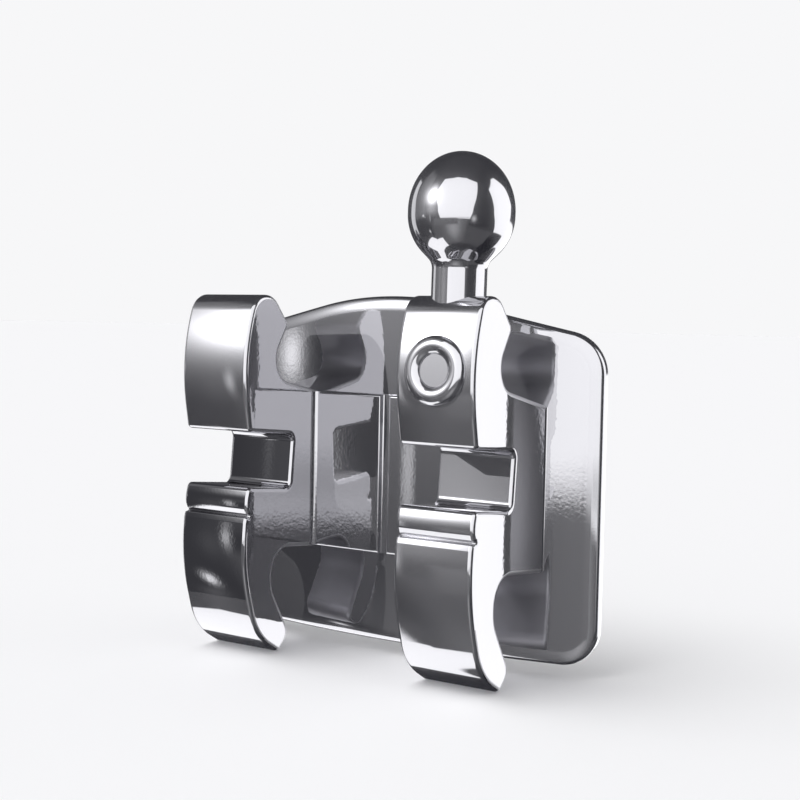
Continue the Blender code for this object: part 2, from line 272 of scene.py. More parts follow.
def rounded_outline(corners, inset=0.0):
    """A closed outline from (u, v, radius) corners, listed anticlockwise, set in by a distance."""
    smallest_share = 0.02
    radii = fillet_sizes(corners)
    points = []
    for i, (u, v, _) in enumerate(corners):
        back = unit((u, v), corners[i - 1][:2])
        ahead = unit((u, v), corners[(i + 1) % len(corners)][:2])
        half = back.angle(ahead) / 2
        turn = pi - 2 * half
        bisector = (back + ahead).normalized()
        side = 1 if back.cross(ahead) < 0 else -1
        corner = Vector((u, v)) + bisector * (side * inset / sin(half))
        if radii[i] <= 0:
            points.append(corner)
            continue
        radius = max(radii[i] - side * inset, smallest_share * radii[i])
        fine_step = 2 * acos(max(1 - CHORD_ERROR / radii[i], 0.0))
        steps = max(2, ceil(turn / min(WIDEST_STEP, fine_step)))
        centre = corner + bisector * (radius / sin(half))
        start = corner + back * (radius / tan(half)) - centre
        for k in range(steps + 1):
            angle = side * turn * k / steps
            points.append(centre + Matrix.Rotation(angle, 2) @ start)
    return points


# %% [markdown]
# ## Solids from outlines
# A loft skins a row of outlines, and a lathe turns a profile about the upright axis. Both make one
# closed solid, because the solids are joined by Booleans later and a Boolean needs closed ones.
# Each face carries the number of its finish through the Booleans, in the order given here.

# %% Loft and lathe
POLISHED = 0
SATIN = 1
MOULDED = 2
HONED = 3


def loft(rings):
    """A closed bmesh from rings of points with equal counts, capped at both ends."""
    bm = bmesh.new()
    loops = [[bm.verts.new(point) for point in ring] for ring in rings]
    count = len(loops[0])
    for lower, upper in zip(loops, loops[1:]):
        for i in range(count):
            j = (i + 1) % count
            bm.faces.new((lower[i], lower[j], upper[j], upper[i]))
    bm.faces.new(loops[0])
    bm.faces.new(loops[-1])
    return bm


def turned(profile, steps):
    """A closed bmesh of revolution about Z from (radius, height) points between two poles."""
    bm = bmesh.new()
    bottom = bm.verts.new((0, 0, profile[0][1]))
    top = bm.verts.new((0, 0, profile[-1][1]))
    rings = []
    for radius, height in profile[1:-1]:
        ring = []
        for i in range(steps):
            angle = 2 * pi * i / steps
            ring.append(bm.verts.new((radius * cos(angle), radius * sin(angle), height)))
        rings.append(ring)
    for i in range(steps):
        j = (i + 1) % steps
        bm.faces.new((bottom, rings[0][j], rings[0][i]))
        bm.faces.new((top, rings[-1][i], rings[-1][j]))
        for lower, upper in zip(rings, rings[1:]):
            bm.faces.new((lower[i], lower[j], upper[j], upper[i]))
    return bm


def solid(name, bm, finish, place=None):
    """Turn a bmesh into a closed object whose faces all start with one finish."""
    bmesh.ops.recalc_face_normals(bm, faces=bm.faces)
    if place is not None:
        bm.transform(place)
    for face in bm.faces:
        face.material_index = finish
        face.smooth = True
    mesh = bpy.data.meshes.new(name)
    bm.to_mesh(mesh)
    bm.free()
    obj = bpy.data.objects.new(name, mesh)
    bpy.context.scene.collection.objects.link(obj)
    return obj


# %% [markdown]
# ## A wing pair
# Both pairs are the same: an upper and a lower wing on one block, with the slot between them. The
# side view is one outline with every hollow and bulge in it. Copies of it, each a little smaller
# towards the sides, give the long edges their round.

# %% Side view of a wing pair
def slot_frame(x=0.0):
    """The frame of the slot: Y back from the wing face, Z up from the slot's middle."""
    turn = Matrix.Rotation(-SLOT_TORQUE, 4, "X")
    return Matrix.Translation((x, 0, 0)) @ turn @ Matrix.Translation((0, -IN_OUT, 0))


def ledge_points():
    """Two points on the top of the body behind the wing, in the slot frame."""
    run = IN_OUT + CUT_ALLOWANCE - UPPER_WAIST
    return (UPPER_WAIST, BODY_TOP), (UPPER_WAIST + run, BODY_TOP - run * tan(BODY_TOP_FALL))


def pair_corners():
    """The side view of a wing pair in the slot frame, anticlockwise from the slot's floor."""
    upper = SLOT_HEIGHT / 2
    lip = LOWER_LIP_SETBACK
    groove_floor = (GROOVE_TOP + GROOVE_BOTTOM) / 2
    front, rear = ledge_points()
    return [
        (SLOT_DEPTH, upper, SLOT_FLOOR_FILLET),
        (SLOT_DEPTH, -upper, SLOT_FLOOR_FILLET),
        (lip + LIP_TILT, -upper, SLOT_MOUTH_ROUND),
        (lip, -LIP_BROW, LIP_ROLL),
        (lip + LIP_FALL, -LIP_END, GROOVE_SHOULDER),
        (lip + LIP_FALL + GROOVE_FALL, -GROOVE_TOP, GROOVE_ROUND),
        (lip + GROOVE_DEPTH, -groove_floor + GROOVE_ROUND / 2, GROOVE_ROUND),
        (lip + GROOVE_DEPTH, -groove_floor - GROOVE_ROUND / 2, GROOVE_ROUND),
        (lip + GROOVE_RISE, -GROOVE_BOTTOM, GROOVE_ROUND),
        (lip, -GROOVE_END, GROOVE_SHOULDER),
        (lip, -LOWER_BROW_HEIGHT, LOWER_BROW_ROUND),
        (LOWER_CHEEK, -LOWER_CHEEK_HEIGHT, LOWER_CHEEK_ROUND),
        (LOWER_TIP, -LOWER_REACH, LOWER_TIP_ROUND),
        (LOWER_HEEL, -LOWER_HEEL_HEIGHT, LOWER_HEEL_ROUND),
        (LOWER_WAIST, -LOWER_WAIST_HEIGHT, LOWER_WAIST_ROUND),
        (LOWER_ROOT, -BODY_BOTTOM, LOWER_TIE_FILLET),
        (rear[0], -BODY_BOTTOM, 0.0),
        (*rear, 0.0),
        (*front, UPPER_TIE_FILLET),
        (UPPER_HEEL, UPPER_HEEL_HEIGHT, UPPER_HEEL_ROUND),
        (UPPER_CREST, UPPER_REACH, UPPER_CREST_ROUND),
        (UPPER_BROW_SETBACK, UPPER_REACH, UPPER_BROW_ROUND),
        (-UPPER_BULGE, UPPER_BULGE_HEIGHT, UPPER_FACE_RADIUS),
        (0.0, upper, SLOT_MOUTH_ROUND),
    ]


def wing_face(height):
    """How far the front of the wings lies at a height in the slot frame."""
    outline = rounded_outline(pair_corners())
    crossings = []
    for a, b in zip(outline, outline[1:] + outline[:1]):
        if (a.y - height) * (b.y - height) < 0:
            crossings.append(a.x + (b.x - a.x) * (height - a.y) / (b.y - a.y))
    return min(crossings)


# %% Loft a wing pair
HOLLOW_FROM = 0.18
HOLLOW_FACING = -0.3
FLAT_SIDE = 0.999
WALL_GAP = SLOT_HEIGHT / 100
WALL_FROM = 2 * SLOT_MOUTH_ROUND


def wing_pair(name, x):
    """One pair of tie wings with its body: satin sides, moulded hollows, honed slot walls."""
    corners = pair_corners()
    half = PAIR_WIDTH / 2
    rings = []
    for side in (-1, 1):
        arcs = [pi / 2 * k / EDGE_STEPS for k in range(EDGE_STEPS + 1)]
        for angle in reversed(arcs) if side < 0 else arcs:
            across = side * (half - EDGE_ROUND * (1 - sin(angle)))
            outline = rounded_outline(corners, EDGE_ROUND * (1 - cos(angle)))
            rings.append([(across, p.x, p.y) for p in outline])
    pair = solid(name, loft(rings), POLISHED, slot_frame(x))
    slot_back = slot_frame(x).inverted()
    for face in pair.data.polygons:
        place = slot_back @ face.center
        if abs(face.normal.x) > FLAT_SIDE:
            face.material_index = SATIN
        elif place.y > HOLLOW_FROM and abs(place.z) > SLOT_HEIGHT and face.normal.y > HOLLOW_FACING:
            face.material_index = MOULDED
        elif place.y > WALL_FROM and abs(abs(place.z) - SLOT_HEIGHT / 2) < WALL_GAP:
            face.material_index = HONED
        elif x < 0 and place.z < SLOT_HEIGHT / 2 and place.y < HOLLOW_FROM:
            face.material_index = HONED
        elif x < 0 and abs(place.z) < SLOT_HEIGHT / 2:
            face.material_index = HONED
    return pair


# %% [markdown]
# ## The pad and the channel floor
# The pad is drawn flat with a crowned top edge and then bent round the tooth, strip by strip. The
# flat block between the wing pairs, with the scribe line down its middle, stands on it. Its floor
# has a step of a hundredth of a millimetre, made up so that it mirrors one soft band of light.

# %% Bend a flat solid round the tooth
def bent(x, y):
    """Where a point of the flat pad goes when the pad is bent round the tooth."""
    from_axis = PAD_CONTOUR_RADIUS - (y + PAD_THICKNESS)
    sine = x / PAD_CONTOUR_RADIUS
    fall = PAD_CONTOUR_RADIUS - from_axis * sqrt(1 - sine**2)
    return from_axis * sine, fall - PAD_THICKNESS


def bend_to_tooth(bm, half_width):
    """Slice a flat solid into upright strips and bend it round the tooth."""
    strips = ceil(2 * half_width / PAD_STRIP)
    for i in range(1, strips):
        x = -half_width + 2 * half_width * i / strips
        everything = bm.verts[:] + bm.edges[:] + bm.faces[:]
        bmesh.ops.bisect_plane(bm, geom=everything, dist=MERGE, plane_co=(x, 0, 0), plane_no=(1, 0, 0))
    for vert in bm.verts:
        vert.co.x, vert.co.y = bent(vert.co.x, vert.co.y)
    bmesh.ops.triangulate(bm, faces=bm.faces)


# %% Bonding pad
def pad_corners():
    """The front view of the pad, anticlockwise, with a crowned top that falls to both sides."""
    half = PAD_WIDTH / 2
    shoulder = PAD_PEAK - half * tan(PAD_CROWN_FALL)
    return [
        (-half, -PAD_BOTTOM, PAD_BOTTOM_CORNER),
        (half, -PAD_BOTTOM, PAD_BOTTOM_CORNER),
        (half, shoulder, PAD_TOP_CORNER),
        (0.0, PAD_PEAK, PAD_CROWN_RADIUS),
        (-half, shoulder, PAD_TOP_CORNER),
    ]


def rim_profile():
    """Inset and setback of the pad's front rim: a soft roll first, then a tight round."""
    soft = PAD_RIM_SOFT_TURN
    width = PAD_RIM_SOFT_RADIUS * sin(soft) + PAD_RIM_ROUND * (1 - sin(soft))
    points = []
    for k in range(RIM_STEPS + 1):
        angle = soft * k / RIM_STEPS
        points.append((width - PAD_RIM_SOFT_RADIUS * sin(angle), PAD_RIM_SOFT_RADIUS * (1 - cos(angle))))
    start = points[-1][1]
    for k in range(1, RIM_STEPS + 1):
        angle = soft + (pi / 2 - soft) * k / RIM_STEPS
        points.append((PAD_RIM_ROUND * (1 - sin(angle)), start + PAD_RIM_ROUND * (cos(soft) - cos(angle))))
    return points


RIM_STARTS = radians(2.5)


def bonding_pad():
    """The pad, left thick at the back until the tooth's shape is cut."""
    corners = pad_corners()
    rings = []
    for inset, setback in rim_profile():
        rings.append([(p.x, setback - PAD_THICKNESS, p.y) for p in rounded_outline(corners, inset)])
    rings.append([(p.x, CUT_ALLOWANCE / 2, p.y) for p in rounded_outline(corners)])
    bm = loft(rings)
    bend_to_tooth(bm, PAD_WIDTH / 2)
    pad = solid("cast_bracket", bm, SATIN)
    axis = Vector((0, PAD_CONTOUR_RADIUS - PAD_THICKNESS, 0))
    for face in pad.data.polygons:
        outward = face.center - axis
        outward.z = 0
        if abs(face.normal.dot(outward.normalized())) < cos(RIM_STARTS):
            face.material_index = POLISHED
    return pad


# %% Channel floor
CHANNEL_STEP_STRIPS = 24


def channel_face(x):
    """How far back the channel floor lies: its left part is a hair deeper, with a soft step between."""
    share = min(max((x - CHANNEL_STEP_START) / (CHANNEL_STEP_END - CHANNEL_STEP_START), 0.0), 1.0)
    rise = share**3 * (10 - 15 * share + 6 * share**2)
    return CHANNEL_STEP * (1 - rise) - CHANNEL_THICKNESS


def body_ends(y):
    """Heights of the body's lower and upper faces at a depth y."""
    place = slot_frame()
    front, rear = (place @ Vector((0, *point)) for point in ledge_points())
    low_front = place @ Vector((0, LOWER_ROOT, -BODY_BOTTOM))
    low_rear = place @ Vector((0, ledge_points()[1][0], -BODY_BOTTOM))
    top = front.z + (rear.z - front.z) * (y - front.y) / (rear.y - front.y)
    bottom = low_front.z + (low_rear.z - low_front.z) * (y - low_front.y) / (low_rear.y - low_front.y)
    return bottom, top


def channel_floor():
    """The flat block between the two pairs, in line with the body's top and bottom."""
    back = CUT_ALLOWANCE / 2
    back_bottom, back_top = body_ends(back)
    half = (PAIR_PITCH - PAIR_WIDTH) / 2 + CHANNEL_OVERLAP
    step = (CHANNEL_STEP_END - CHANNEL_STEP_START) / CHANNEL_STEP_STRIPS
    stations = [CHANNEL_STEP_START + step * k for k in range(CHANNEL_STEP_STRIPS + 1)]
    rings = []
    for x in (-half, *stations, half):
        face = channel_face(x)
        bottom, top = body_ends(face)
        corners = [
            (face, top - CHANNEL_REVEAL, CHANNEL_EDGE_ROUND),
            (face, bottom + CHANNEL_REVEAL, CHANNEL_EDGE_ROUND),
            (back, back_bottom + CHANNEL_REVEAL, 0.0),
            (back, back_top - CHANNEL_REVEAL, 0.0),
        ]
        rings.append([(x, p.x, p.y) for p in rounded_outline(corners)])
    return solid("channel_floor", loft(rings), SATIN)


# %% [markdown]
# ## Fillets where the pairs meet the pad
# Molten metal doesn't fill a knife-sharp inner corner, so the flat side of each pair runs into the
# floor with a small hollow. Each is a thin upright bar with a hollow face, joined to the casting.

# %% Upright fillet bars
CHANNEL_FILLET = 0.055
FLANGE_FILLET = 0.02
FILLET_OVERLAP = 0.03
FILLET_STEPS = 10
FILLET_END_GAP = 0.02


def fillet_bar(name, x, side, radius, tangent):
    """A bar along Z in the corner between the plane at x and the floor that tangent describes."""
    centre, touch = tangent(x + side * radius, radius)
    start = atan2(touch.y - centre.y, touch.x - centre.x)
    end = pi if side > 0 else 0.0
    if side < 0 and start < 0:
        start += 2 * pi
    arc = []
    for k in range(FILLET_STEPS + 1):
        angle = start + (end - start) * k / FILLET_STEPS
        arc.append((centre.x + radius * cos(angle), centre.y + radius * sin(angle)))
    inner = x - side * FILLET_OVERLAP
    behind = touch.y + FILLET_OVERLAP
    section = [*arc, (inner, arc[-1][1]), (inner, behind), (touch.x, behind)]
    bottom, top = body_ends(touch.y)
    heights = (bottom + FILLET_END_GAP, top - FILLET_END_GAP)
    return solid(name, loft([[(u, v, z) for u, v in section] for z in heights]), SATIN)


def on_channel(centre_x, radius):
    """Centre and touching point of a fillet circle that stands on the flat channel floor."""
    floor = channel_face(centre_x)
    return Vector((centre_x, floor - radius)), Vector((centre_x, floor))


def on_pad(centre_x, radius):
    """Centre and touching point of a fillet circle that stands on the pad's curved front."""
    axis = Vector((0.0, PAD_CONTOUR_RADIUS - PAD_THICKNESS))
    reach = PAD_CONTOUR_RADIUS + radius
    centre = Vector((centre_x, axis.y - sqrt(reach**2 - centre_x**2)))
    return centre, centre + (axis - centre).normalized() * radius


def root_fillets():
    """Four upright fillets, one on each side of both pairs."""
    bars = []
    for pair in (-1, 1):
        for side in (-1, 1):
            x = pair * PAIR_PITCH / 2 + side * PAIR_WIDTH / 2
            if pair == side:
                bars.append(fillet_bar("root_fillet", x, side, FLANGE_FILLET, on_pad))
            else:
                bars.append(fillet_bar("root_fillet", x, side, CHANNEL_FILLET, on_channel))
    return bars


# %% [markdown]
# ## The ball hook and the ring
# Elastics are hung on the ball. It is turned: a ball with a slightly taller crown, a conical neck
# and a post that sinks into the wing. The raised ring marks which tooth the bracket is for.

# %% Ball hook
def ball_hook():
    """Ball with a taller crown, conical neck and post, turned about one axis."""
    root = slot_frame(PAIR_PITCH / 2) @ Vector((0, HOOK_SETBACK, UPPER_REACH))
    cone_height = -BALL_STRETCH - BALL_RADIUS * tan(NECK_TAPER / 2)
    neck_height = cone_height - (BALL_RADIUS - POST_RADIUS) / tan(NECK_TAPER)
    end = -HOOK_RISE - HOOK_SINK
    side = [
        (0.0, end, 0.0),
        (POST_RADIUS, end, POST_ROOT_ROUND),
        (POST_RADIUS, neck_height, NECK_FILLET),
        (BALL_RADIUS, cone_height, BALL_RADIUS),
        (BALL_RADIUS, BALL_RADIUS, BALL_RADIUS),
        (0.0, BALL_RADIUS, 0.0),
    ]
    tallness = BALL_CROWN / BALL_RADIUS
    profile = [(p.x, p.y * tallness if p.y > 0 else p.y) for p in rounded_outline(side)]
    around = [(radius, height) for radius, height in profile[1:-1] if radius > SMALLEST_RING]
    lean = Matrix.Rotation(HOOK_LEAN, 4, "Y")
    place = Matrix.Translation(root + Vector((0, 0, HOOK_RISE))) @ lean
    return solid("ball_hook", turned([profile[0], *around, profile[-1]], TURNED_STEPS), POLISHED, place)


# %% Marking ring
def marking_ring():
    """A half-sunk bead round a plain disc on the right upper wing."""
    middle = (RING_OUTER_RADIUS + RING_INNER_RADIUS) / 2
    half = (RING_OUTER_RADIUS - RING_INNER_RADIUS) / 2
    bm = bmesh.new()
    rings = []
    for i in range(RING_STEPS):
        angle = 2 * pi * i / RING_STEPS
        ring = []
        for k in range(RING_BEAD_STEPS):
            turn = 2 * pi * k / RING_BEAD_STEPS
            radius = middle + half * cos(turn)
            ring.append(bm.verts.new((radius * cos(angle), RING_RELIEF * sin(turn), radius * sin(angle))))
        rings.append(ring)
    for i in range(RING_STEPS):
        here = rings[i]
        there = rings[(i + 1) % RING_STEPS]
        for k in range(RING_BEAD_STEPS):
            m = (k + 1) % RING_BEAD_STEPS
            bm.faces.new((here[k], here[m], there[m], there[k]))
    face = wing_face(RING_HEIGHT_ON_WING)
    place = slot_frame(PAIR_PITCH / 2) @ Matrix.Translation((0, face, RING_HEIGHT_ON_WING))
    return solid("marking_ring", bm, POLISHED, place)


def ring_disc():
    """The flat disc inside the ring, a little proud of the wing."""
    radius = (RING_OUTER_RADIUS + RING_INNER_RADIUS) / 2
    face = wing_face(RING_HEIGHT_ON_WING)
    bm = bmesh.new()
    bmesh.ops.create_cone(
        bm,
        cap_ends=True,
        segments=RING_STEPS,
        radius1=radius,
        radius2=radius,
        depth=RING_RELIEF,
        matrix=Matrix.Rotation(pi / 2, 4, "X"),
    )
    back = Vector((0, face + RING_RELIEF / 2 - RING_DISC_RELIEF, RING_HEIGHT_ON_WING))
    return solid("ring_disc", bm, POLISHED, slot_frame(PAIR_PITCH / 2) @ Matrix.Translation(back))


# %% [markdown]
# ## What is cut away
# The scribe line is a shallow groove with flared shoulders. The tooth's own curve cuts the bonding face,
# and small square pockets there give the adhesive something to grip.

# %% Cutters
def scribe_line():
    """A cutter with flared shoulders that runs down the middle of the channel floor."""
    face = channel_face(0.0)
    half = SCRIBE_WIDTH / 2
    flare = half + 2 * SCRIBE_SHOULDER
    corners = [
        (-flare, face - SCRIBE_DEPTH, 0.0),
        (flare, face - SCRIBE_DEPTH, 0.0),
        (flare, face, 0.0),
        (half, face, SCRIBE_SHOULDER),
        (half, face + SCRIBE_DEPTH, SCRIBE_FLOOR_ROUND),
        (-half, face + SCRIBE_DEPTH, SCRIBE_FLOOR_ROUND),
        (-half, face, SCRIBE_SHOULDER),
        (-flare, face, 0.0),
    ]
    outline = rounded_outline(corners)
    rings = [[(p.x, p.y, z) for p in outline] for z in (-PAD_PEAK, PAD_PEAK)]
    return solid("scribe_line", loft(rings), SATIN)


def tooth():
    """A block with the tooth's curve on its front, which cuts the bonding face."""
    half = PAD_WIDTH / 2 + CUT_ALLOWANCE
    height = 2 * PAD_PEAK + 2 * CUT_ALLOWANCE
    depth = 2 * IN_OUT
    bm = bmesh.new()
    bmesh.ops.create_cube(bm, size=1.0)
    bmesh.ops.scale(bm, verts=bm.verts, vec=(2 * half, depth, height))
    bmesh.ops.translate(bm, verts=bm.verts, vec=(0, depth / 2, 0))
    bend_to_tooth(bm, half)
    return solid("tooth", bm, SATIN)


def inside(point, outline):
    """Whether a point lies inside a closed outline."""
    hits = 0
    for a, b in zip(outline, outline[1:] + outline[:1]):
        if (a.y > point.y) != (b.y > point.y):
            hits += point.x < a.x + (b.x - a.x) * (point.y - a.y) / (b.y - a.y)
    return hits % 2 == 1


def retention_pockets():
    """A grid of square pockets in the bonding face, kept clear of the pad's rim."""
    land = rounded_outline(pad_corners(), POCKET_LAND)
    half = POCKET_SIZE / 2
    columns = ceil(PAD_WIDTH / 2 / POCKET_PITCH)
    rows = ceil(PAD_PEAK / POCKET_PITCH)
    bm = bmesh.new()
    for i in range(-columns, columns + 1):
        for j in range(-rows, rows + 1):
            x = i * POCKET_PITCH
            z = j * POCKET_PITCH
            spots = [Vector((x + a * half, z + b * half)) for a in (-1, 1) for b in (-1, 1)]
            if not all(inside(spot, land) for spot in spots):
                continue
            middle = (*bent(x, CUT_ALLOWANCE / 2 - POCKET_DEPTH), z)
            turn = Matrix.Rotation(asin(x / PAD_CONTOUR_RADIUS), 4, "Z")
            size = Matrix.Diagonal((POCKET_SIZE, CUT_ALLOWANCE, POCKET_SIZE, 1))
            bmesh.ops.create_cube(bm, size=1.0, matrix=Matrix.Translation(middle) @ turn @ size)
    return solid("retention_pockets", bm, SATIN)


# %% [markdown]
# ## Join everything into one casting
# Exact Booleans give one closed skin with clean lines where shapes meet. Weighted normals then let
# the large flat faces keep their own direction, so a mirror finish shows no ripple beside an edge.

# %% Join and cut
SHARP_ANGLE = radians(28)


def combine(body, other, operation):
    """Join a shape to the body, or cut it out, and throw the shape away."""
    modifier = body.modifiers.new(other.name, "BOOLEAN")
    modifier.object = other
    modifier.operation = operation
    modifier.solver = "EXACT"
    modifier.material_mode = "INDEX"
    depsgraph = bpy.context.evaluated_depsgraph_get()
    mesh = bpy.data.meshes.new_from_object(body.evaluated_get(depsgraph))
    body.modifiers.clear()
    body.data = mesh
    bpy.data.objects.remove(other, do_unlink=True)


def cast_bracket():
    """The whole casting in metres, smooth where it curves and sharp where shapes meet."""
    body = bonding_pad()
    pairs = [wing_pair("wing_pair", side * PAIR_PITCH / 2) for side in (-1, 1)]
    for piece in (*pairs, channel_floor(), *root_fillets(), ball_hook(), ring_disc(), marking_ring()):
        combine(body, piece, "UNION")
    for cutter in (scribe_line(), tooth(), retention_pockets()):
        combine(body, cutter, "DIFFERENCE")
    body.data.transform(Matrix.Scale(MM, 4))
    body.data.shade_smooth()
    body.data.set_sharp_from_angle(angle=SHARP_ANGLE)
    normals = body.modifiers.new("weighted_normals", "WEIGHTED_NORMAL")
    normals.mode = "FACE_AREA"
    normals.weight = 100
    normals.keep_sharp = True
    return body


casting = cast_bracket()
finish_counts = [sum(face.material_index == k for face in casting.data.polygons) for k in range(HONED + 1)]
print("faces of each finish:", finish_counts)
print("casting has", sum(len(face.vertices) - 2 for face in casting.data.polygons), "triangles")

# %% [markdown]
# ## Effects shared by the finishes
# Barrel-polished steel still shows the orange peel of the mould where the stones don't reach. The
# peel is one node group that puts out a height, and each finish bumps it by its own depth.

# %% Node helpers
def new_group(name, inputs, outputs):
    """A node group with float inputs {name: default} and float outputs."""
    group = bpy.data.node_groups.new(name, "ShaderNodeTree")
    for label, value in inputs.items():
        socket = group.interface.new_socket(label, in_out="INPUT", socket_type="NodeSocketFloat")
        socket.default_value = value
    for label in outputs:
        group.interface.new_socket(label, in_out="OUTPUT", socket_type="NodeSocketFloat")
    return group, group.nodes.new("NodeGroupInput"), group.nodes.new("NodeGroupOutput")


def math_node(tree, operation, first, second):
    """A Math node whose inputs are linked sockets or plain numbers."""
    node = tree.nodes.new("ShaderNodeMath")
    node.operation = operation
    for socket, value in zip(node.inputs, (first, second)):
        if isinstance(value, (int, float)):
            socket.default_value = value
        else:
            tree.links.new(value, socket)
    return node.outputs[0]


def noise_node(tree, scale, detail, roughness, stretch=(1.0, 1.0, 1.0)):
    """Noise over the casting, scaled to cycles per millimetre."""
    place = tree.nodes.new("ShaderNodeTexCoord")
    mapping = tree.nodes.new("ShaderNodeMapping")
    mapping.inputs["Scale"].default_value = [factor / MM for factor in stretch]
    tree.links.new(place.outputs["Object"], mapping.inputs["Vector"])
    noise = tree.nodes.new("ShaderNodeTexNoise")
    tree.links.new(mapping.outputs["Vector"], noise.inputs["Vector"])
    if isinstance(scale, (int, float)):
        noise.inputs["Scale"].default_value = scale
    else:
        tree.links.new(scale, noise.inputs["Scale"])
    noise.inputs["Detail"].default_value = detail
    noise.inputs["Roughness"].default_value = roughness
    return noise.outputs["Fac"]


# %% Orange peel
def orange_peel_group():
    """Height of the fine dimples left by the mould."""
    inputs = {"Cell Scale": 14.0, "Grain Scale": 34.0, "Grain Share": 1.0}
    group, entry, out = new_group("OrangePeel", inputs, ["Height"])
    cells = noise_node(group, entry.outputs["Cell Scale"], 2.0, 0.45)
    grain = noise_node(group, entry.outputs["Grain Scale"], 1.0, 0.4)
    fine = math_node(group, "MULTIPLY", grain, entry.outputs["Grain Share"])
    total = math_node(group, "ADD", cells, fine)
    group.links.new(total, out.inputs["Height"])
    return group


orange_peel = orange_peel_group()
print("orange peel group has", len(orange_peel.nodes), "nodes")

# %% [markdown]
# ## Four finishes of the same steel
# The wings, the ring and the hook are polished. The pad, the floor between the pairs and the flat
# sides keep a satin skin with fine orange peel. The hollows behind the wings are rough as moulded.
# Slot walls and the left lower wing are honed: a plain mirror with no haze. Polished and satin steel
# mix a sharp mirror with a little wide haze, and only the haze shows the key lamp.

# %% Steel finishes
STEEL = (0.465, 0.463, 0.485, 1.0)
HAZE_ROUGHNESS = 0.365


def add_shader(tree, roughness, normal):
    """One Principled BSDF of bare steel."""
    shader = tree.nodes.new("ShaderNodeBsdfPrincipled")
    shader.inputs["Base Color"].default_value = STEEL
    shader.inputs["Metallic"].default_value = 1.0
    shader.inputs["Roughness"].default_value = roughness
    tree.links.new(normal, shader.inputs["Normal"])
    return shader


def steel(name, roughness, peel_depth, haze):
    """Stainless steel with its own gloss, orange peel and share of haze."""
    material = bpy.data.materials.new(name)
    material.use_nodes = True
    tree = material.node_tree
    tree.nodes.clear()
    out = tree.nodes.new("ShaderNodeOutputMaterial")
    peel = tree.nodes.new("ShaderNodeGroup")
    peel.node_tree = orange_peel
    bump = tree.nodes.new("ShaderNodeBump")
    bump.inputs["Strength"].default_value = 1.0
    bump.inputs["Distance"].default_value = peel_depth * MM
    tree.links.new(peel.outputs["Height"], bump.inputs["Height"])
    gloss = add_shader(tree, roughness, bump.outputs["Normal"])
    if haze == 0:
        tree.links.new(gloss.outputs["BSDF"], out.inputs["Surface"])
        return material
    wide = add_shader(tree, HAZE_ROUGHNESS, bump.outputs["Normal"])
    mix = tree.nodes.new("ShaderNodeMixShader")
    mix.inputs["Fac"].default_value = haze
    tree.links.new(gloss.outputs["BSDF"], mix.inputs[1])
    tree.links.new(wide.outputs["BSDF"], mix.inputs[2])
    tree.links.new(mix.outputs["Shader"], out.inputs["Surface"])
    return material


polished = steel("polished_steel", roughness=0.0, peel_depth=0.00004, haze=0.15)
satin = steel("satin_steel", roughness=0.0, peel_depth=0.0002, haze=0.11)
moulded = steel("moulded_steel", roughness=0.50, peel_depth=0.001, haze=0.0)
honed = steel("honed_steel", roughness=0.0, peel_depth=0.0002, haze=0.0)
for finish in (polished, satin, moulded, honed):
    casting.data.materials.append(finish)
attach(casting, "root")
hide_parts("bracket_body")
print("finishes:", [material.name for material in casting.data.materials])

# %% [markdown]
# ## The light tent
# Polished steel has no look of its own: it shows the room. The part stands in a dark tent with a
# few bright cards, and each bright band on it is the mirror image of one card. The tent is painted
# by direction, in degrees round from the front and up from the horizon, and only reflections see it.
# It hides the pale sky from the steel, and its cards are brighter than a white sheet. The cards suit
# this one view, so the steel looks plainer under other light, and its back is burnt out here.

# %% Cards of the tent
DARK = 0.075
COOL = 0.008


def smooth_step(value):
    """0 below 0, 1 above 1, and a smooth rise between."""
    t = np.clip(value, 0.0, 1.0)
    return t * t * (3 - 2 * t)


def card(around, up, corners, softness):
    """How much of a convex card, with corners listed anticlockwise, covers each direction."""
    middle = sum(corner[0] for corner in corners) / len(corners)
    turned_to = (around - middle + 180.0) % 360.0 - 180.0 + middle
    outside = np.full(around.shape, -1e9)
    for (a0, e0), (a1, e1) in zip(corners, corners[1:] + corners[:1]):
        length = sqrt((a1 - a0) ** 2 + (e1 - e0) ** 2)
        out = ((a1 - a0) * (e0 - up) - (a0 - turned_to) * (e1 - e0)) / length
        outside = np.maximum(outside, out)
    return smooth_step(0.5 - outside / softness)


